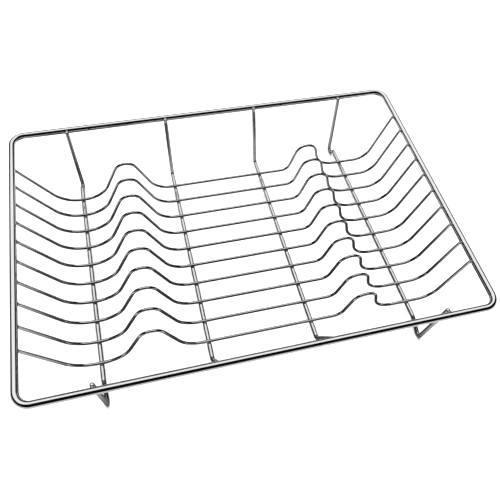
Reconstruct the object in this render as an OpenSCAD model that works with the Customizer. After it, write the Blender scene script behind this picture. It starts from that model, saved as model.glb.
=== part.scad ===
// Dish drying rack: an open basket of welded bright steel wire.
// One thick wire is bent into the top rim. Four cross wires run from front to back and hang
// from the rim. The two outer ones are bent down into pointed feet at both ends. Ten thin
// long wires run from side to side on top of the cross wires. Each rises into two humps, and
// plates stand in the gaps between one wire's hump and the next.
// +X is the rack's right, +Y is its back and +Z is up. The origin is on the ground, under
// the middle of the rim.

/* [Overall size] */
// Length over the rim, left to right
rack_length = 457; // [400:0.5:560]
// Width over the rim, front to back
rack_width = 317.5; // [300:0.5:390]
// Height from the ground to the top of the rim
rack_height = 86.5; // [80:0.5:120]

/* [Wire] */
// Diameter of the rim wire
rim_wire = 7; // [5:0.1:8]
// Diameter of the cross wires
cross_wire = 4.8; // [3.2:0.1:5.4]
// Diameter of the long wires
long_wire = 3.4; // [2.4:0.1:4]
// How far two wires sink into each other at a weld
weld_bite = 0.2; // [0.1:0.05:0.4]

/* [Rim] */
// Bend radius of the rim's corners, to the middle of the wire
rim_corner = 13; // [9:0.5:30]

/* [Cross wires] */
// Where the outer cross wires lie, measured in from the rim wire
outer_inset = 58.5; // [54:0.5:66]
// How far the row of cross wires sits to the right of the rim's middle
cross_shift = 3.6; // [0:0.1:4]
// How far each cross wire is turned askew, in degrees, from the left one to the right one
cross_askew = [0.5, 0, 1, 2]; // [0:0.5:2]
// How far each cross wire leans over to the left, in degrees
cross_lean = [0.5, 0.5, 1.5, 1]; // [0:0.5:4]
// Where the floor of the basket ends at the front, measured in from the rim wire
front_inset = 35.5; // [28:0.5:40]
// Where the floor of the basket ends at the back, measured in from the rim wire
back_inset = 27.5; // [26:0.5:40]
// Bend radius at the ends of the floor, to the middle of the wire
floor_bend = 5; // [4:0.5:6]
// How far a back end stands past its weld on the rim
back_end_past = 3; // [1:0.5:5]
// How far an outer front end stands past its weld on the rim
front_end_past = 0.5; // [0.5:0.5:5]

/* [Feet] */
// How far the feet reach down below the cross wires
foot_drop = 8; // [7:0.5:18]
// Where a foot stands, measured in from the rim wire
foot_inset = 16; // [13:0.5:18]
// Bend radius at the tip of a foot, to the middle of the wire
foot_bend = 4; // [3.2:0.1:4.5]

/* [Long wires] */
// Distance from one long wire to the next
long_pitch = 23.5; // [18:0.1:24]
// How far the row of long wires sits behind the rim's middle
long_shift = 2.1; // [0:0.1:2.5]
// How far the long wires run straight on each side of the left outer cross wire
long_rest = 2.5; // [2:0.5:6]
// Bend radius between the floor and the left wall, to the middle of the wire
left_wall_bend = 33; // [20:0.5:38]
// Where the right wall leaves the floor, measured in from the rim wire
right_inset = 40; // [34:0.5:44]
// Bend radius between the floor and the right wall, to the middle of the wire
right_wall_bend = 21; // [10:0.5:26]
// How far a long wire's right end stands past its weld on the rim
long_end_past = 0.5; // [0.5:0.5:3]

/* [Humps] */
// Height of the left hump above the floor
left_hump_height = 52; // [44:0.5:60]
// Height of the right hump above the floor
right_hump_height = 40; // [34:0.5:50]
// How far the left hump runs down to the right of its middle, as a share of a bay
left_hump_fall = 0.45; // [0.43:0.005:0.47]
// How far the right hump rises from the left up to its middle, as a share of a bay
right_hump_rise = 0.265; // [0.25:0.005:0.3]
// How far the right hump runs down to the right of its middle, as a share of a bay
right_hump_fall = 0.365; // [0.36:0.005:0.4]
// Bend radii to the middle of the wire, each as a share of a bay: at the top of a hump
hump_top = 0.12; // [0.1:0.005:0.13]
// At the left foot of the left hump
left_rise_bend = 0.29; // [0.1:0.01:0.3]
// At the right foot of the left hump
left_fall_bend = 0.24; // [0.1:0.01:0.26]
// At the left foot of the right hump
right_rise_bend = 0.1; // [0.06:0.01:0.12]
// At the right foot of the right hump
right_fall_bend = 0.23; // [0.1:0.01:0.23]

/* [Hidden] */

cross_count = 4;
long_count = 10;
chrome = "silver";
$fn = 48;

// A wire is stretched a hair thinner where it is bent, and its straight runs reach a hair
// into the bends
bend_thinning = 0.02;
bend_reach = 0.05;

// Half the distance between the middles of opposite sides of the rim
rim_x = (rack_length - rim_wire) / 2;
rim_y = (rack_width - rim_wire) / 2;
// A bay is the space between one cross wire and the next
bay = 2 * (rim_x - outer_inset) / (cross_count - 1);
// Heights of the middles of the wires
rim_z = rack_height - rim_wire / 2;
cross_z = foot_drop + cross_wire / 2;
long_z = cross_z + (cross_wire + long_wire) / 2 - weld_bite;
// Distances from the middle of the rim wire to the middle of a wire lapped on its side,
// and to a wire end that butts against it
cross_lap = (rim_wire + cross_wire) / 2 - weld_bite;
long_lap = (rim_wire + long_wire) / 2 - weld_bite;
butt = rim_wire / 2 - weld_bite;

// A wire is a list of stops [u, v, bend] in its own plane. Each stop is a peg that the wire
// runs round, as a belt runs round a pulley: bend is the peg's radius, positive where the
// wire turns left round it, negative where it turns right, and 0 at a plain end point.

// Direction, in degrees, square to the straight run from one stop to the next, on its left
function square_to(from, to) =
    let (run = [to.x - from.x, to.y - from.y])
    atan2(run.y, run.x) + acos((to.z - from.z) / norm(run));

// The direction of travel that goes with such a square direction
function along(square) = [sin(square), -cos(square)];

// The point where a straight run touches a stop
function touch(stop, square) = [stop.x, stop.y] - stop.z * [cos(square), sin(square)];

// The positive turn from one direction to another
function turn(from, to) = (to - from + 720) % 360;

// End of a wire that leaves the stop before it, lies against the side of a rim wire and
// stands a little past it
function lapped_end(before, rim, lap, past) =
    let (square = square_to(before, [rim.x, rim.y, lap]),
         end = touch([rim.x, rim.y, lap], square) + past * along(square))
    [end.x, end.y, 0];

// The same at the start of a wire, where the stop comes after the rim
function lapped_start(rim, lap, past, after) =
    let (square = square_to([rim.x, rim.y, lap], after),
         start = touch([rim.x, rim.y, lap], square) - past * along(square))
    [start.x, start.y, 0];

// Start of a wire whose end butts straight against a rim wire
function butted_start(rim, after) =
    let (square = square_to([rim.x, rim.y, 0], after),
         start = [rim.x, rim.y] + butt * along(square))
    [start.x, start.y, 0];

// How far a straight run reaches into the bend at one of its stops: not at all at a plain end
function reach(stop) = stop.z == 0 ? 0 : bend_reach;

// The straight run between two stops
module straight(from, to, square, wire) {
    start = touch(from, square) - reach(from) * along(square);
    end = touch(to, square) + reach(to) * along(square);
    translate([start.x, start.y, 0])
        rotate([0, 90, square - 90])
            cylinder(h = norm(end - start), d = wire);
}

// The bend round one stop
module bend(stop, square_in, square_out, wire) {
    left = stop.z > 0;
    translate([stop.x, stop.y, 0])
        rotate([0, 0, left ? square_in + 180 : square_out])
            rotate_extrude(angle = left ? turn(square_in, square_out) : turn(square_out, square_in))
                translate([abs(stop.z), 0])
                    circle(d = wire - bend_thinning);
}

// An open wire from its first stop to its last
module bent_wire(stops, wire) {
    last = len(stops) - 1;
    squares = [for (i = [0:last - 1]) square_to(stops[i], stops[i + 1])];
    for (i = [0:last - 1])
        straight(stops[i], stops[i + 1], squares[i], wire);
    for (i = [1:last - 1])
        bend(stops[i], squares[i - 1], squares[i], wire);
}

// A wire that closes on itself, with its ends welded together
module closed_wire(stops, wire) {
    count = len(stops);
    squares = [for (i = [0:count - 1]) square_to(stops[i], stops[(i + 1) % count])];
    for (i = [0:count - 1]) {
        next = (i + 1) % count;
        straight(stops[i], stops[next], squares[i], wire);
        bend(stops[next], squares[i], squares[next], wire);
    }
}

module top_rim() {
    x = rim_x - rim_corner;
    y = rim_y - rim_corner;
    color(chrome)
        translate([0, 0, rim_z])
            closed_wire([
                [x, -y, rim_corner],
                [x, y, rim_corner],
                [-x, y, rim_corner],
                [-x, -y, rim_corner]
            ], rim_wire);
}

// Place of a cross wire along the rack, counted from the left
function cross_x(index) = cross_shift + bay * (index - (cross_count - 1) / 2);

// Stands a wire's plane upright, from front to back, and leans it over about its floor line
module from_front_to_back(index) {
    color(chrome)
        translate([cross_x(index), 0, cross_z])
            rotate([0, -cross_lean[index], cross_askew[index]])
                translate([0, 0, -cross_z])
                    rotate([90, 0, 90])
                        children();
}

// An outer cross wire: down from the front rim, round the front foot, up to the floor of the
// basket, along it, down to the back foot and up to the back rim
module foot_cross_wire(index) {
    foot_z = cross_wire / 2 + foot_bend;
    front_foot = [foot_inset - rim_y, foot_z, foot_bend];
    back_foot = [rim_y - foot_inset, foot_z, foot_bend];
    from_front_to_back(index)
        bent_wire([
            lapped_start([-rim_y, rim_z], -cross_lap, front_end_past, front_foot),
            front_foot,
            [front_inset - rim_y, cross_z - floor_bend, -floor_bend],
            [rim_y - back_inset, cross_z - floor_bend, -floor_bend],
            back_foot,
            lapped_end(back_foot, [rim_y, rim_z], -cross_lap, back_end_past)
        ], cross_wire);
}

// An inner cross wire: it stops under the front rim, so that no end stands up there
module inner_cross_wire(index) {
    front = [front_inset - rim_y, cross_z + floor_bend, floor_bend];
    back = [rim_y - back_inset, cross_z + floor_bend, floor_bend];
    from_front_to_back(index)
        bent_wire([
            butted_start([-rim_y, rim_z], front),
            front,
            back,
            lapped_end(back, [rim_y, rim_z], -cross_lap, back_end_past)
        ], cross_wire);
}

// A stop where a long wire lies on the floor of the basket
function floor_stop(x, radius) = [x, long_z + radius, radius];

// The three stops of a hump: how far its left foot, its right foot and their bends reach
function hump(middle, height, rise, rise_bend, fall, fall_bend) = [
    floor_stop(middle - rise, rise_bend * bay),
    [middle, long_z + height - hump_top * bay, -hump_top * bay],
    floor_stop(middle + fall, fall_bend * bay)
];

// A long wire, counted from the back: down from a butt weld on the left rim, along the floor
// of the basket and over both humps, and up to a lapped weld on the right rim
module long_wire_at(index) {
    left_wall = floor_stop(cross_x(0) - long_rest, left_wall_bend);
    right_wall = floor_stop(rim_x - right_inset, right_wall_bend);
    color(chrome)
        translate([0, long_shift + long_pitch * ((long_count - 1) / 2 - index), 0])
            rotate([90, 0, 0])
                bent_wire(concat(
                    [butted_start([-rim_x, rim_z], left_wall), left_wall],
                    hump(cross_x(0.5), left_hump_height, bay / 2 - long_rest, left_rise_bend,
                         left_hump_fall * bay, left_fall_bend),
                    hump(cross_x(2.5), right_hump_height, right_hump_rise * bay, right_rise_bend,
                         right_hump_fall * bay, right_fall_bend),
                    [right_wall,
                     lapped_end(right_wall, [rim_x, rim_z], -long_lap, long_end_past)]
                ), long_wire);
}

top_rim();
foot_cross_wire(0);  // left_foot_cross_wire
inner_cross_wire(1);  // left_cross_wire
inner_cross_wire(2);  // right_cross_wire
foot_cross_wire(3);  // right_foot_cross_wire
long_wire_at(0);  // long_wire_1_back
long_wire_at(1);  // long_wire_2
long_wire_at(2);  // long_wire_3
long_wire_at(3);  // long_wire_4
long_wire_at(4);  // long_wire_5
long_wire_at(5);  // long_wire_6
long_wire_at(6);  // long_wire_7
long_wire_at(7);  // long_wire_8
long_wire_at(8);  // long_wire_9
long_wire_at(9);  // long_wire_10_front
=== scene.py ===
# %% [markdown]
# # A dish drying rack in chromed steel wire
# The rack is an open basket made of nothing but wire. A thick wire is bent into the top rim.
# Four cross wires hang from it, and ten thin long wires lie on top of those. Every crossing is
# welded, and the whole basket is then plated with chrome. The CAD model gives each wire its
# place and its size. This script gives each wire a true round surface, draws the welds that
# hold the wires together, and makes the polished plating and a small studio to see it in.

# %% Load the frame
import math

import bpy
import numpy as np
from mathutils import Matrix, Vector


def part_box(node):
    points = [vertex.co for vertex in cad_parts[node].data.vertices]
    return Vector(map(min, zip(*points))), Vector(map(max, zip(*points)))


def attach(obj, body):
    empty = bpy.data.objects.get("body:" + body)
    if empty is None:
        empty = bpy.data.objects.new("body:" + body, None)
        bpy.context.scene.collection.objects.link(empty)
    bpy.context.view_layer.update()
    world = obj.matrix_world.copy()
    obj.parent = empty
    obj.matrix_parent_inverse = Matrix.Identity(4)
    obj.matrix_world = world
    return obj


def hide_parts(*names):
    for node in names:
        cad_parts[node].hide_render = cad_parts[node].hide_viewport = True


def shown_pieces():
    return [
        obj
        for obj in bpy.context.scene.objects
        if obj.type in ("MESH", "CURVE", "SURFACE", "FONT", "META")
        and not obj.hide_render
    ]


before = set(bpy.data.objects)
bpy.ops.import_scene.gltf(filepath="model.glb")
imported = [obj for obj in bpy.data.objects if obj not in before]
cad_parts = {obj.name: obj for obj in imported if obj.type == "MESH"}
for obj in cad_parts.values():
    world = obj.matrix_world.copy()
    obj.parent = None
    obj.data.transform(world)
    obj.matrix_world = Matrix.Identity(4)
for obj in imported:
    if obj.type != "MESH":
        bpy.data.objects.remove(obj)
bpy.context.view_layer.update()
print("wires in the CAD model:", len(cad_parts))

# %% [markdown]
# ## The sizes of the rack
# All lengths are in millimetres until a mesh is made, because that is how wire is sold and
# bent. They are the same sizes that the CAD model was built from. The origin is on the ground
# under the middle of the rim, with +X to the right, +Y to the back and +Z up.

# %% Sizes of the wires and of the basket
RIM_WIRE, CROSS_WIRE, LONG_WIRE = 7.0, 4.8, 3.4
WELD_BITE = 0.2
RACK = np.array([457.0, 317.5, 86.5])
RIM_CORNER = 13.0
FOOT_DROP = 8.0

rim_x, rim_y = (RACK[:2] - RIM_WIRE) / 2
rim_z = RACK[2] - RIM_WIRE / 2
cross_z = FOOT_DROP + CROSS_WIRE / 2
long_z = cross_z + (CROSS_WIRE + LONG_WIRE) / 2 - WELD_BITE
cross_lap = (RIM_WIRE + CROSS_WIRE) / 2 - WELD_BITE
long_lap = (RIM_WIRE + LONG_WIRE) / 2 - WELD_BITE
butt = RIM_WIRE / 2 - WELD_BITE

low, high = (np.array(corner) * 1000 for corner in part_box("top_rim"))
print("rim in the CAD model:", np.round(high - low, 2), "mm, and here:", RACK[:2], RIM_WIRE)

# %% [markdown]
# ## A bent wire as a path
# A wire bender pushes straight wire against round pegs. So each wire is a list of stops in its
# own flat plane: the place of a peg, and the radius it gives to the middle of the wire, which
# is positive where the wire turns left and negative where it turns right. The wire runs from
# peg to peg as a belt does, straight in between and round at the pegs. A curve object with
# handles could follow the same route, but its bends would not be true arcs, and chrome shows
# that at once in its reflections.

# %% From stops to a path
def square_to(start, stop):
    """Angle square to the straight run between two stops, on its left: the angle of the line
    between the pegs, plus the angle whose cosine is the difference of their radii over their
    distance."""
    run = np.subtract(stop[:2], start[:2])
    return math.atan2(run[1], run[0]) + math.acos((stop[2] - start[2]) / np.linalg.norm(run))


def travel(square):
    """Direction in which the wire travels: the square direction turned a quarter to the right."""
    return np.array([math.sin(square), -math.cos(square)])


def touch(stop, square):
    """Where a straight run touches a peg: the peg's centre, less its radius in the square
    direction."""
    return np.array(stop[:2]) - stop[2] * np.array([math.cos(square), math.sin(square)])


def lapped_end(before, rim, lap, past):
    """Plain end of a wire that lies along the side of the rim wire and stands a little past."""
    peg = (*rim, lap)
    square = square_to(before, peg)
    return (*(touch(peg, square) + past * travel(square)), 0)


def lapped_start(rim, lap, past, after):
    """The same at the wire's first end."""
    peg = (*rim, lap)
    square = square_to(peg, after)
    return (*(touch(peg, square) - past * travel(square)), 0)


def butted_start(rim, after):
    """First end of a wire that butts straight against the rim wire."""
    return (*(np.array(rim) + butt * travel(square_to((*rim, 0), after))), 0)


STRAIGHT_STEP = 6.0
TURN_STEP = math.radians(5)


def wire_path(stops, closed=False):
    """Points along the middle of the wire and the unit directions on its left.
    Straight run: start + t (end - start). Bend: peg - radius (cos a, sin a), with a going from
    the square direction of the run before to that of the run after."""
    count = len(stops)
    runs = count if closed else count - 1
    squares = [square_to(stops[i], stops[(i + 1) % count]) for i in range(runs)]
    points, lefts = [], []
    for i, square in enumerate(squares):
        stop = stops[(i + 1) % count]
        start, end = touch(stops[i], square), touch(stop, square)
        steps = max(2, round(np.linalg.norm(end - start) / STRAIGHT_STEP))
        t = np.linspace(0, 1, steps, endpoint=False)[:, None]
        points.append(start + t * (end - start))
        lefts.append(np.repeat([[math.cos(square), math.sin(square)]], steps, axis=0))
        if closed or i < runs - 1:
            after = squares[(i + 1) % runs]
            left_turn = (after - square) % (2 * math.pi)
            turn = left_turn if stop[2] > 0 else -((square - after) % (2 * math.pi))
            a = square + turn * np.linspace(0, 1, max(3, round(abs(turn) / TURN_STEP)), endpoint=False)
            left = np.stack([np.cos(a), np.sin(a)], axis=1)
            points.append(np.array(stop[:2]) - stop[2] * left)
            lefts.append(left)
        else:
            points.append(end[None])
            lefts.append(lefts[-1][-1:])
    return np.concatenate(points), np.concatenate(lefts)


# %% [markdown]
# ## A round wire along a path
# The surface of a wire is a circle carried along the path, so it is a grid with one direction
# along the wire and one around it. Cut wire has sharp ends, but polishing and plating round
# them, so the circle shrinks to nothing over the last millimetre as a quarter of an ellipse
# does. Wire that was wound on a coil is never quite straight either. A wave of a tenth of a
# millimetre is too small to see as a bend, but it breaks up the long reflections as on real
# wire.
#
# Each point also keeps its place on the straightened wire, as an attribute. The finishes use
# it, so the fine lines left by the drawing die follow the wire round every bend.

# %% The surface of a wire
AROUND = 32
WAVE = 0.10
LONG_WAVE, SHORT_WAVE, WAVE_FADE = 23, 9.1, 15


def end_rings(point, left, direction, wire, length):
    """Rings that close an end: at t from 0 to 1 the centre moves length sin(t pi/2) outwards
    and the radius is cos(t pi/2) of the wire's."""
    t = np.linspace(0, 1, 8)[1:-1] * math.pi / 2
    return point + np.sin(t)[:, None] * length * direction, np.repeat(left[None], len(t), 0), np.cos(t)


def wire_surface(stops, wire, place, closed=False, tip=0.0, seed=0):
    """Grid of points: place(path point + r cos(v) left, r sin(v)), for v around the wire.
    place turns a point of the wire's plane and its height over it into one of the rack."""
    points, lefts = wire_path(stops, closed)
    size = np.ones(len(points))
    if not closed:
        first = np.array([lefts[0][1], -lefts[0][0]])
        last = np.array([lefts[-1][1], -lefts[-1][0]])
        head = end_rings(points[0] + tip * first, lefts[0], -first, wire, tip)
        tail = end_rings(points[-1] - tip * last, lefts[-1], last, wire, tip)
        points[0] += tip * first
        points[-1] -= tip * last
        points = np.concatenate([head[0][::-1], points, tail[0]])
        lefts = np.concatenate([head[1][::-1], lefts, tail[1]])
        size = np.concatenate([head[2][::-1], size, tail[2]])
    gaps = np.linalg.norm(np.diff(points, axis=0), axis=1)
    along = np.concatenate([[0], np.cumsum(gaps)])
    wave = WAVE * (np.sin(along / LONG_WAVE + 1.7 * seed) + 0.6 * np.sin(along / SHORT_WAVE + 2.9 * seed))
    fade = np.clip(np.minimum(along, along[-1] - along) / WAVE_FADE, 0, 1)
    if not closed:
        points = points + (wave * fade)[:, None] * lefts * 0.5
    v = np.arange(AROUND) * 2 * math.pi / AROUND
    radius = wire / 2 * size[:, None]
    flat = points[:, None] + (radius * np.cos(v))[..., None] * lefts[:, None]
    up = radius * np.sin(v)
    grid = place(np.concatenate([flat, up[..., None]], axis=2))
    straightened = np.stack([
        np.repeat(along[:, None], AROUND, axis=1),
        np.repeat(np.cos(v)[None], len(along), axis=0) * wire / 2,
        np.repeat(np.sin(v)[None], len(along), axis=0) * wire / 2,
    ], axis=2)
    return grid, straightened


def grid_mesh(name, grids, closed=False):
    """One mesh from grids of points in mm. Each grid is quads between neighbouring rings, and
    open grids are closed at both ends by a fan round the ring's middle."""
    points, extra, quads, tris, start = [], [], [], [], 0
    for grid, own in grids:
        rings, around = grid.shape[:2]
        points.append(grid.reshape(-1, 3))
        extra.append(own.reshape(-1, 3))
        i = np.arange(rings if closed else rings - 1)[:, None]
        j = np.arange(around)[None]
        here, there = i * around, (i + 1) % rings * around
        across = (j + 1) % around
        quads.append(start + np.stack(
            [here + j, here + across, there + across, there + j], axis=2).reshape(-1, 4))
        start += rings * around
        if not closed:
            points.append(grid[[0, -1]].mean(axis=1))
            extra.append(own[[0, -1]].mean(axis=1))
            ring = np.arange(around)
            near = start - rings * around + ring
            far = start - around + ring
            tris.append(np.stack([np.full(around, start), np.roll(near, -1), near], axis=1))
            tris.append(np.stack([np.full(around, start + 1), far, np.roll(far, -1)], axis=1))
            start += 2
    mesh = bpy.data.meshes.new(name)
    mesh.from_pydata(np.concatenate(points) / 1000, [],
                     np.concatenate(quads).tolist() + [t for f in tris for t in f.tolist()])
    mesh.polygons.foreach_set("use_smooth", np.ones(len(mesh.polygons), dtype=bool))
    own = mesh.attributes.new("straightened", "FLOAT_VECTOR", "POINT")
    own.data.foreach_set("vector", (np.concatenate(extra) / 1000).ravel())
    mesh.validate()
    mesh.update()
    piece = bpy.data.objects.new(name, mesh)
    bpy.context.scene.collection.objects.link(piece)
    return piece


def turned_inside_out(piece):
    """Whether the mesh encloses a negative volume: the sum over its faces of centre times
    normal times area, over three."""
    n = len(piece.data.polygons)
    centre, normal, area = np.empty(n * 3), np.empty(n * 3), np.empty(n)
    piece.data.polygons.foreach_get("center", centre)
    piece.data.polygons.foreach_get("normal", normal)
    piece.data.polygons.foreach_get("area", area)
    centre = centre.reshape(-1, 3) - centre.reshape(-1, 3).mean(axis=0)
    return ((centre * normal.reshape(-1, 3)).sum(axis=1) * area).sum() < 0


def finish_piece(piece, slot, *nodes):
    """Turns the faces outwards, hides the CAD wires that the piece stands for, hangs it on the root and
    prints its size. The slot is not used.
    """
    if turned_inside_out(piece):
        piece.data.flip_normals()
    if nodes:
        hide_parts(*nodes)
    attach(piece, "root")
    print(piece.name, len(piece.data.vertices), "points")


# %% [markdown]
# ## The rim
# The rim is one length of the thickest wire, bent round four corners and butt-welded to itself
# in the middle of the back, where the weld is ground flush. Its plane is level, so a point of
# the path keeps its two coordinates and the third is the height over the rim's middle.

# %% Bend the rim
def level(p):
    """Plane of the rim: (u, v, w) becomes (u, v, rim_z + w)."""
    return p + [0, 0, rim_z]


x, y = rim_x - RIM_CORNER, rim_y - RIM_CORNER
rim_stops = [(x, -y, RIM_CORNER), (x, y, RIM_CORNER), (-x, y, RIM_CORNER), (-x, -y, RIM_CORNER)]
rim = grid_mesh("rim", [wire_surface(rim_stops, RIM_WIRE, level, closed=True)], closed=True)
finish_piece(rim, "rim_chrome", "top_rim")

# %% [markdown]
# ## The cross wires
# Four wires run from the front to the back. The two outer ones go down past the level of the
# basket's floor at both ends, turn sharply and come back up to it, and those turns are the
# rack's four feet. The inner ones only turn up to the rim. Behind, all four lie against the
# inner side of the rim with their ends standing up a little past it. No two were welded quite
# alike, so each is turned and leans over by a small amount of its own.

# %% Bend the cross wires
OUTER_INSET, CROSS_SHIFT = 58.5, 3.6
ASKEW, LEAN = np.radians([0.5, 0, 1, 2]), np.radians([0.5, 0.5, 1.5, 1])
FRONT_INSET, BACK_INSET, FLOOR_BEND = 35.5, 27.5, 5.0
BACK_END_PAST, FRONT_END_PAST = 3.0, 0.5
FOOT_INSET, FOOT_BEND = 16.0, 4.0
CROSS_TIP = 1.6

foot_z = CROSS_WIRE / 2 + FOOT_BEND
front_foot = (FOOT_INSET - rim_y, foot_z, FOOT_BEND)
back_foot = (rim_y - FOOT_INSET, foot_z, FOOT_BEND)
foot_stops = [
    lapped_start((-rim_y, rim_z), -cross_lap, FRONT_END_PAST, front_foot),
    front_foot,
    (FRONT_INSET - rim_y, cross_z - FLOOR_BEND, -FLOOR_BEND),
    (rim_y - BACK_INSET, cross_z - FLOOR_BEND, -FLOOR_BEND),
    back_foot,
    lapped_end(back_foot, (rim_y, rim_z), -cross_lap, BACK_END_PAST),
]
inner_front = (FRONT_INSET - rim_y, cross_z + FLOOR_BEND, FLOOR_BEND)
inner_back = (rim_y - BACK_INSET, cross_z + FLOOR_BEND, FLOOR_BEND)
inner_stops = [
    butted_start((-rim_y, rim_z), inner_front),
    inner_front,
    inner_back,
    lapped_end(inner_back, (rim_y, rim_z), -cross_lap, BACK_END_PAST),
]
bay = 2 * (rim_x - OUTER_INSET) / 3
cross_x = CROSS_SHIFT + bay * (np.arange(4) - 1.5)


def lean_and_turn(index):
    """Rows are where a cross wire's own across, along and up point: across and up are turned
    by its lean about the wire's floor line, and then across and along by its skew."""
    a, b = ASKEW[index], LEAN[index]
    turn = np.array([[math.cos(a), math.sin(a), 0], [-math.sin(a), math.cos(a), 0], [0, 0, 1]])
    lean = np.array([[math.cos(b), 0, math.sin(b)], [0, 1, 0], [-math.sin(b), 0, math.cos(b)]])
    return lean @ turn


def on_cross_wire(index, p):
    """From a point (across, along, height over the floor line) of a cross wire to the rack."""
    return p @ lean_and_turn(index) + [cross_x[index], 0, cross_z]


def front_to_back(index):
    """Plane of a cross wire: (u, v, w) is w across, u along and v high."""
    return lambda p: on_cross_wire(index, np.stack([p[..., 2], p[..., 0], p[..., 1] - cross_z], axis=-1))


cross_names = ["left_foot_cross_wire", "left_cross_wire", "right_cross_wire", "right_foot_cross_wire"]
for i, node in enumerate(cross_names):
    stops = foot_stops if "foot" in node else inner_stops
    surface = wire_surface(stops, CROSS_WIRE, front_to_back(i), tip=CROSS_TIP, seed=i)
    finish_piece(grid_mesh(node + "_chromed", [surface]), "cross_wire_chrome", node)

# %% [markdown]
# ## The long wires
# Ten thin wires run from side to side on top of the cross wires. All are bent on one jig: down
# the left wall, along the floor, over a tall hump and a lower one between the cross wires, and
# up the right wall. The left end butts against the rim and the right end lies along its inner
# side. Plates stand between the humps of neighbouring wires.

# %% Bend the long wires
LONG_PITCH, LONG_SHIFT, LONG_REST = 23.5, 2.1, 2.5
LEFT_WALL_BEND, RIGHT_INSET, RIGHT_WALL_BEND, LONG_END_PAST = 33.0, 40.0, 21.0, 0.5
LEFT_HUMP_HEIGHT, RIGHT_HUMP_HEIGHT = 52.0, 40.0
LEFT_RISE_BEND, LEFT_FALL, LEFT_FALL_BEND = 0.29, 0.45, 0.24
RIGHT_RISE, RIGHT_RISE_BEND, RIGHT_FALL, RIGHT_FALL_BEND = 0.265, 0.10, 0.365, 0.23
HUMP_TOP = 0.12 * bay
LONG_TIP = 1.0


def floor_stop(x, radius):
    """A peg whose wire lies on the floor of the basket."""
    return x, long_z + radius, radius


def hump(middle, height, rise, rise_bend, fall, fall_bend):
    """A hump's three pegs, from its height in mm and its plan and bends as shares of a bay."""
    return [floor_stop(middle - rise * bay, rise_bend * bay),
            (middle, long_z + height - HUMP_TOP, -HUMP_TOP),
            floor_stop(middle + fall * bay, fall_bend * bay)]


left_wall = floor_stop(cross_x[0] - LONG_REST, LEFT_WALL_BEND)
right_wall = floor_stop(rim_x - RIGHT_INSET, RIGHT_WALL_BEND)
long_stops = [butted_start((-rim_x, rim_z), left_wall), left_wall]
long_stops += hump(cross_x[:2].mean(), LEFT_HUMP_HEIGHT, 0.5 - LONG_REST / bay, LEFT_RISE_BEND,
                   LEFT_FALL, LEFT_FALL_BEND)
long_stops += hump(cross_x[2:].mean(), RIGHT_HUMP_HEIGHT, RIGHT_RISE, RIGHT_RISE_BEND,
                   RIGHT_FALL, RIGHT_FALL_BEND)
long_stops += [right_wall, lapped_end(right_wall, (rim_x, rim_z), -long_lap, LONG_END_PAST)]
long_y = LONG_SHIFT + LONG_PITCH * (4.5 - np.arange(10))


def side_to_side(index):
    """Plane of a long wire: (u, v, w) becomes (u, y - w, v)."""
    return lambda p: np.stack([p[..., 0], long_y[index] - p[..., 2], p[..., 1]], axis=-1)


long_names = ["long_wire_1_back"] + [f"long_wire_{i}" for i in range(2, 10)] + ["long_wire_10_front"]
for i, node in enumerate(long_names):
    surface = wire_surface(long_stops, LONG_WIRE, side_to_side(i), tip=LONG_TIP, seed=4 + i)
    finish_piece(grid_mesh(node + "_chromed", [surface]), "long_wire_chrome", node)

# %% [markdown]
# ## The welds
# Where two wires cross, a welding press squeezes them together and a current melts the point
# where they touch. A little metal is pressed out and stays as a low cushion in the corner
# between the wires. It is only a millimetre or two across, so each one is a flattened ball,
# most of it inside the two wires. Without them the wires would seem only laid on each other.

# %% Make the weld cushions
FLOOR_WELD = [1.75, 1.75, 0.75]
LEFT_WELD, RIGHT_WELD = [1.3, 2.3, 2.3], [0.8, 1.5, 2.0]
LAPPED_WELD, BUTTED_WELD = [2.0, 0.9, 2.6], [2.9, 1.0, 2.9]


def cushion(centre, radii, axes=np.eye(3), around=16, rings=8):
    """Ellipsoid: centre + a sin(t) cos(p) X + b sin(t) sin(p) Y + c cos(t) Z."""
    t = np.linspace(0, math.pi, rings + 2)[1:-1, None]
    p = np.arange(around)[None] * 2 * math.pi / around
    ball = np.stack([np.sin(t) * np.cos(p), np.sin(t) * np.sin(p), np.cos(t) + 0 * p], axis=2)
    grid = (ball * radii) @ axes + centre
    return grid, grid.copy()


def cross_wire_x(index, y):
    """Where a cross wire's floor line is at y, with its skew."""
    return cross_x[index] - y * math.tan(ASKEW[index])


weld_z = cross_z + CROSS_WIRE / 2 - WELD_BITE / 2
floor_welds = [cushion([cross_wire_x(i, y), y, weld_z], FLOOR_WELD)
               for i in range(4) for y in long_y]
left_way = travel(square_to((-rim_x, rim_z, 0), long_stops[1]))
left_axes = np.array([[left_way[0], 0, left_way[1]], [0, 1, 0], [-left_way[1], 0, left_way[0]]])
left_spot = np.array([-rim_x, 0, rim_z]) + (RIM_WIRE / 2) * left_axes[0]
side_welds = [cushion(left_spot + [0, y, 0], LEFT_WELD, left_axes) for y in long_y]
right_square = square_to(long_stops[-2], (rim_x, rim_z, -long_lap))
right_out = np.array([math.cos(right_square), 0, math.sin(right_square)])
right_axes = np.array([right_out, [0, 1, 0], [-right_out[2], 0, right_out[0]]])
right_spot = np.array([rim_x, 0, rim_z]) + (RIM_WIRE / 2) * right_out
side_welds += [cushion(right_spot + [0, y, 0], RIGHT_WELD, right_axes) for y in long_y]
print("welds on the floor:", len(floor_welds), "and on the sides of the rim:", len(side_welds))

# %% Make the welds of the cross wires on the rim
def rim_weld(index, spot, out, radii):
    """A cushion on a cross wire's own plane, spot and out being (along, height) and pointing
    from the rim to the wire."""
    out = np.array([0, *out])
    axes = np.array([[1, 0, 0], out, [0, -out[2], out[1]]])
    turned = lean_and_turn(index)
    return cushion(on_cross_wire(index, np.array([0, spot[0], spot[1] - cross_z])), radii, axes @ turned)


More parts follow.
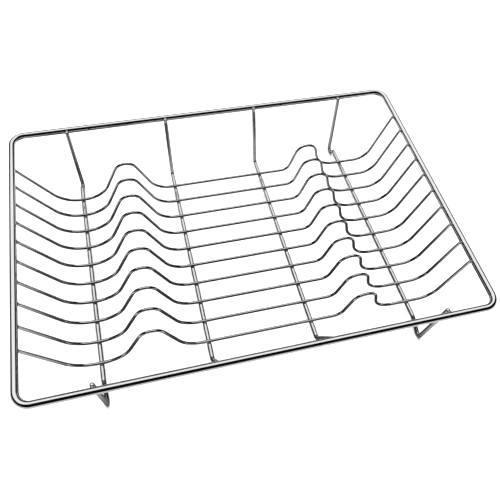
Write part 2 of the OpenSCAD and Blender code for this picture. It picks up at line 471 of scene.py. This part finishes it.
rim_welds = []
for i in range(4):
    stops = foot_stops if i in (0, 3) else inner_stops
    square = square_to(stops[-2], (rim_y, rim_z, -cross_lap))
    out = np.array([math.cos(square), math.sin(square)])
    rim_welds.append(rim_weld(i, np.array([rim_y, rim_z]) + RIM_WIRE / 2 * out, out, LAPPED_WELD))
    if i in (0, 3):
        square = square_to((-rim_y, rim_z, -cross_lap), stops[1])
        out, radii = np.array([math.cos(square), math.sin(square)]), LAPPED_WELD
    else:
        out, radii = travel(square_to((-rim_y, rim_z, 0), stops[1])), BUTTED_WELD
    rim_welds.append(rim_weld(i, np.array([-rim_y, rim_z]) + RIM_WIRE / 2 * out, out, radii))
welds = grid_mesh("weld_cushions", floor_welds + side_welds + rim_welds)
finish_piece(welds, "cross_wire_chrome")

# %% [markdown]
# ## Finishes
# Chrome plate copies whatever is under it. On wire that is the track of the drawing die, fine
# lines that run along the wire, and a soft ripple like orange peel from the copper and nickel
# beneath. So a chromed wire is a mirror whose reflections are drawn out along it, and a little
# less sharp than in glass. One small function adds a node with its settings and its links, and
# each finish is then written out node by node.

# %% Helpers for the finishes
def linear(hex_colour):
    """sRGB hex to linear: c / 12.92 below 0.04045, otherwise ((c + 0.055) / 1.055) ^ 2.4."""
    c = np.array([int(hex_colour[i:i + 2], 16) / 255 for i in (1, 3, 5)])
    return (*np.where(c <= 0.04045, c / 12.92, ((c + 0.055) / 1.055) ** 2.4), 1.0)


def add(tree, kind, settings=None, values=None, links=None):
    """Adds a node, sets its own settings and its sockets' values, and links sockets to it."""
    made = tree.nodes.new(kind)
    for key, value in (settings or {}).items():
        setattr(made, key, value)
    for key, value in (values or {}).items():
        made.inputs[key].default_value = value
    for key, source in (links or {}).items():
        tree.links.new(source, made.inputs[key])
    return made


def empty_material(name):
    """A material with only its output left, and that output."""
    material = bpy.data.materials.new(name)
    material.use_nodes = True
    material.node_tree.nodes.clear()
    return material, material.node_tree, add(material.node_tree, "ShaderNodeOutputMaterial")


# %% [markdown]
# ### Bright chrome plate on drawn wire
# The die lines are about 0.15 mm apart around the wire and many times longer along it. They
# are noise on the straightened wire, squeezed around it. The peel is a soft noise a few
# millimetres across. Both are far shallower than they are wide, so they only nudge the
# reflections. Finger marks and water film change the roughness a little over centimetres.

# %% Chrome for each thickness of wire
MM = 0.001


def chromed_wire(name, tint, dull, roughness, line_gap, peel):
    """Chrome whose die lines are line_gap mm apart, with peel ripples of peel mm."""
    material, tree, output = empty_material(name)
    where = add(tree, "ShaderNodeAttribute", {"attribute_name": "straightened"})
    stretched = add(tree, "ShaderNodeVectorMath", {"operation": "MULTIPLY"},
                    {1: (0.02, 1.0, 1.0)}, {0: where.outputs["Vector"]})
    lines = add(tree, "ShaderNodeTexNoise", None,
                {"Scale": 1 / (2 * line_gap * MM), "Detail": 2.0, "Roughness": 0.6},
                {"Vector": stretched.outputs["Vector"]})
    ripple = add(tree, "ShaderNodeTexNoise", None,
                 {"Scale": 1 / (2 * peel * MM), "Detail": 1.0, "Roughness": 0.4},
                 {"Vector": where.outputs["Vector"]})
    film = add(tree, "ShaderNodeTexNoise", None,
               {"Scale": 1 / (25 * MM), "Detail": 3.0, "Roughness": 0.55},
               {"Vector": where.outputs["Vector"]})
    colour = add(tree, "ShaderNodeMix", {"data_type": "RGBA"},
                 {"A": linear(tint), "B": linear(dull)}, {"Factor": film.outputs["Fac"]})
    rough = add(tree, "ShaderNodeMapRange", None,
                {"From Min": 0.35, "From Max": 0.7, "To Min": roughness, "To Max": roughness * 1.8},
                {"Value": film.outputs["Fac"]})
    low_bump = add(tree, "ShaderNodeBump", None, {"Strength": 0.25, "Distance": 0.02 * MM},
                   {"Height": ripple.outputs["Fac"]})
    fine_bump = add(tree, "ShaderNodeBump", None, {"Strength": 0.2, "Distance": 0.004 * MM},
                    {"Height": lines.outputs["Fac"], "Normal": low_bump.outputs["Normal"]})
    shader = add(tree, "ShaderNodeBsdfPrincipled", None, {"Metallic": 1.0},
                 {"Base Color": colour.outputs["Result"], "Roughness": rough.outputs["Result"],
                  "Normal": fine_bump.outputs["Normal"]})
    tree.links.new(shader.outputs["BSDF"], output.inputs["Surface"])
    return material


rim_finish = chromed_wire("chrome_plate_on_thick_wire", "#DCDDDF", "#CFD1D4", 0.03, 0.20, 3.0)
cross_finish = chromed_wire("chrome_plate_on_middle_wire", "#D8D9DC", "#CACCD0", 0.035, 0.16, 2.4)
long_finish = chromed_wire("chrome_plate_on_thin_wire", "#C8C9CC", "#B9BBBF", 0.04, 0.12, 1.8)
print("finishes:", rim_finish.name, cross_finish.name, long_finish.name)

# %% [markdown]
# ### Chrome plate over a weld
# The squeezed-out metal is grainy before it is plated, and the current runs thinner into the
# corners, so the plate is duller and a shade warmer there. The grain is about half a
# millimetre, which is coarse enough to break up the little highlight.

# %% Chrome on the welds
weld_finish, tree, output = empty_material("chrome_plate_over_weld")
where = add(tree, "ShaderNodeTexCoord")
grain = add(tree, "ShaderNodeTexNoise", None, {"Scale": 1 / (1.0 * MM), "Detail": 3.0},
            {"Vector": where.outputs["Object"]})
colour = add(tree, "ShaderNodeMix", {"data_type": "RGBA"},
             {"A": linear("#E6E5E2"), "B": linear("#C6C3BE")}, {"Factor": grain.outputs["Fac"]})
rough = add(tree, "ShaderNodeMapRange", None, {"To Min": 0.08, "To Max": 0.24},
            {"Value": grain.outputs["Fac"]})
bump = add(tree, "ShaderNodeBump", None, {"Strength": 0.5, "Distance": 0.08 * MM},
           {"Height": grain.outputs["Fac"]})
shader = add(tree, "ShaderNodeBsdfPrincipled", None, {"Metallic": 1.0},
             {"Base Color": colour.outputs["Result"], "Roughness": rough.outputs["Result"],
              "Normal": bump.outputs["Normal"]})
tree.links.new(shader.outputs["BSDF"], output.inputs["Surface"])

# %% Put the finishes on
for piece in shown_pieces():
    finish = (rim_finish if piece.name == "rim" else weld_finish if piece.name == "weld_cushions"
              else long_finish if piece.name.startswith("long") else cross_finish)
    piece.data.materials.clear()
    piece.data.materials.append(finish)
    print(piece.name, "is", finish.name)

# %% [markdown]
# ## The studio
# A chromed thing shows its studio more than itself. Bright wire needs something white to
# reflect overhead and something dark in front, or it vanishes against a pale ground. So the
# sky here is a studio: one wide soft light overhead, tilted to the back, and walls that are black
# on the camera's side and nearly black behind. It is painted on the world by direction, so it
# lights the whole floor evenly. The light that falls on the floor is stronger than the light
# that the wires mirror, as when a print is exposed for a white ground.

# %% Paint the studio on the world
def flat_direction(degrees):
    """Level unit vector at that angle from the back, turning to the right."""
    a = math.radians(degrees)
    return (math.sin(a), math.cos(a), 0.0)


CAMERA_HEADING = 19.374
world = bpy.data.worlds.new("studio")
bpy.context.scene.world = world
world.use_nodes = True
tree = world.node_tree
tree.nodes.clear()
output = add(tree, "ShaderNodeOutputWorld")
looking = add(tree, "ShaderNodeTexCoord").outputs["Generated"]

TILT = math.radians(23)
HALF_LENGTH, HALF_WIDTH = math.tan(math.radians(38)), math.tan(math.radians(27))
BLUR = 0.08
LIGHT, FLOOR_EXPOSURE = 1.2, 6.2
BLACK_WALL, BACK_WALL = 0.004, 0.03
facing = add(tree, "ShaderNodeVectorMath", {"operation": "DOT_PRODUCT"},
             {1: (0.0, math.sin(TILT), math.cos(TILT))}, {0: looking}).outputs["Value"]
sideways = add(tree, "ShaderNodeVectorMath", {"operation": "DOT_PRODUCT"},
               {1: (1.0, 0.0, 0.0)}, {0: looking}).outputs["Value"]
onwards = add(tree, "ShaderNodeVectorMath", {"operation": "DOT_PRODUCT"},
              {1: (0.0, math.cos(TILT), -math.sin(TILT))}, {0: looking}).outputs["Value"]
soft_light = add(tree, "ShaderNodeMapRange", {"interpolation_type": "SMOOTHSTEP"},
                 {"From Min": 0.05, "From Max": 0.10}, {"Value": facing}).outputs["Result"]
for distance, half in ((sideways, HALF_LENGTH), (onwards, HALF_WIDTH)):
    ratio = add(tree, "ShaderNodeMath", {"operation": "DIVIDE"}, None, {0: distance, 1: facing})
    size = add(tree, "ShaderNodeMath", {"operation": "ABSOLUTE"}, None, {0: ratio.outputs["Value"]})
    inside = add(tree, "ShaderNodeMapRange", {"interpolation_type": "SMOOTHSTEP"},
                 {"From Min": half * (1 + BLUR), "From Max": half * (1 - BLUR)},
                 {"Value": size.outputs["Value"]})
    soft_light = add(tree, "ShaderNodeMath", {"operation": "MULTIPLY"}, None,
                     {0: soft_light, 1: inside.outputs["Result"]}).outputs["Value"]

backwards = add(tree, "ShaderNodeVectorMath", {"operation": "DOT_PRODUCT"},
                {1: flat_direction(CAMERA_HEADING)}, {0: looking})
wall = add(tree, "ShaderNodeMapRange", {"interpolation_type": "SMOOTHSTEP"},
           {"From Min": 0.2, "From Max": 0.9, "To Min": BLACK_WALL, "To Max": BACK_WALL},
           {"Value": backwards.outputs["Value"]})
mirrored = add(tree, "ShaderNodeMath", {"operation": "MULTIPLY_ADD"}, {1: LIGHT},
               {0: soft_light, 2: wall.outputs["Result"]}).outputs["Value"]
falling = add(tree, "ShaderNodeMath", {"operation": "MULTIPLY"}, {1: FLOOR_EXPOSURE}, {0: mirrored})

path = add(tree, "ShaderNodeLightPath")
strength = add(tree, "ShaderNodeMix", {"data_type": "FLOAT"}, None,
               {"Factor": path.outputs["Is Glossy Ray"], "A": falling.outputs["Value"], "B": mirrored})
strength = add(tree, "ShaderNodeMix", {"data_type": "FLOAT"}, {"B": 1.0},
               {"Factor": path.outputs["Is Camera Ray"], "A": strength.outputs["Result"]})
sky = add(tree, "ShaderNodeBackground", None, {"Color": (1.0, 1.0, 1.0, 1.0)},
          {"Strength": strength.outputs["Result"]})
tree.links.new(sky.outputs["Background"], output.inputs["Surface"])

# %% [markdown]
# ### The floor
# The rack stands on a plain pale board. To the eye it is white. In the wires its colour is
# painted instead: outside the rack, where they mirror it at a low angle, as a painted grey
# reflection, and under the rack as painted light towards the back and painted shade under the
# rest of the basket.

# %% Lay the floor
FLOOR_HALF = 4.0
floor_mesh = bpy.data.meshes.new("floor")
floor_mesh.from_pydata([(-FLOOR_HALF, -FLOOR_HALF, 0), (FLOOR_HALF, -FLOOR_HALF, 0),
                        (FLOOR_HALF, FLOOR_HALF, 0), (-FLOOR_HALF, FLOOR_HALF, 0)], [], [(0, 1, 2, 3)])
floor = bpy.data.objects.new("floor", floor_mesh)
bpy.context.scene.collection.objects.link(floor)
board, tree, output = empty_material("pale_board")
path = add(tree, "ShaderNodeLightPath")
spot = add(tree, "ShaderNodeTexCoord")
from_middle = add(tree, "ShaderNodeVectorMath", {"operation": "MULTIPLY"},
                  {1: (1 / (RACK[0] * MM), 1 / (RACK[1] * MM), 0.0)}, {0: spot.outputs["Object"]})
reach = add(tree, "ShaderNodeVectorMath", {"operation": "ABSOLUTE"}, None,
            {0: from_middle.outputs["Vector"]})
sides = add(tree, "ShaderNodeSeparateXYZ", None, None, {0: reach.outputs["Vector"]})
farther = add(tree, "ShaderNodeMath", {"operation": "MAXIMUM"}, None,
              {0: sides.outputs["X"], 1: sides.outputs["Y"]})
outside = add(tree, "ShaderNodeMapRange", {"interpolation_type": "SMOOTHSTEP"},
              {"From Min": 0.42, "From Max": 0.56}, {"Value": farther.outputs["Value"]})
# Painted light and shade, seen only in the wires' reflections: under the rack the floor is painted light
# grey towards the back and dark grey under the rest of the basket.
from_back = add(tree, "ShaderNodeVectorMath", {"operation": "DISTANCE"}, {1: (0.06, 0.34, 0.0)},
                {0: from_middle.outputs["Vector"]})
shade = add(tree, "ShaderNodeMapRange", {"interpolation_type": "SMOOTHSTEP"},
            {"From Min": 0.22, "From Max": 0.40}, {"Value": from_back.outputs["Value"]})
painted_light_and_shade_under_rack = add(tree, "ShaderNodeMix", {"data_type": "RGBA"},
                 {"A": linear("#8C8C8C"), "B": linear("#383838")},
                 {"Factor": shade.outputs["Result"]})
# Painted reflection: outside the rack the floor is painted grey for the rays that the wires mirror,
# though it is white to the eye.
painted_floor_reflection = add(tree, "ShaderNodeMix", {"data_type": "RGBA"}, {"B": linear("#A0A0A0")},
                   {"Factor": outside.outputs["Result"], "A": painted_light_and_shade_under_rack.outputs["Result"]})
paint = add(tree, "ShaderNodeMix", {"data_type": "RGBA"}, {"A": linear("#F4F4F4")},
            {"Factor": path.outputs["Is Glossy Ray"], "B": painted_floor_reflection.outputs["Result"]})
matt = add(tree, "ShaderNodeBsdfDiffuse", None, None, {"Color": paint.outputs["Result"]})
tree.links.new(matt.outputs["BSDF"], output.inputs["Surface"])
floor_mesh.materials.append(board)

# %% [markdown]
# ## The camera
# The rack is seen from in front and well above, a little from the left, with the camera held
# slightly tilted. A camera looks along its own -Z, so it is first tipped up from straight
# down, then turned to its heading, and rolled about its own line of sight.

# %% Place the camera
CAMERA_FROM_CROSS_WIRES = np.array([-92.54, -314.36, 519.15])
CAMERA_DOWN, CAMERA_ROLL, LENS = 57.349, 6.603, 37.87
camera = bpy.data.objects.new("camera", bpy.data.cameras.new("camera"))
bpy.context.scene.collection.objects.link(camera)
camera.data.lens, camera.data.sensor_width = LENS, 36.0
camera.data.clip_start, camera.data.clip_end = 0.01, 20.0
camera_spot = (CAMERA_FROM_CROSS_WIRES + [0, 0, cross_z]) * MM
camera.matrix_world = (Matrix.Translation(camera_spot)
                       @ Matrix.Rotation(-math.radians(CAMERA_HEADING), 4, "Z")
                       @ Matrix.Rotation(math.radians(90 - CAMERA_DOWN), 4, "X")
                       @ Matrix.Rotation(math.radians(CAMERA_ROLL), 4, "Z"))
bpy.context.scene.camera = camera
bpy.context.scene.view_settings.view_transform = "Standard"
print("camera at", np.round(camera_spot, 4))
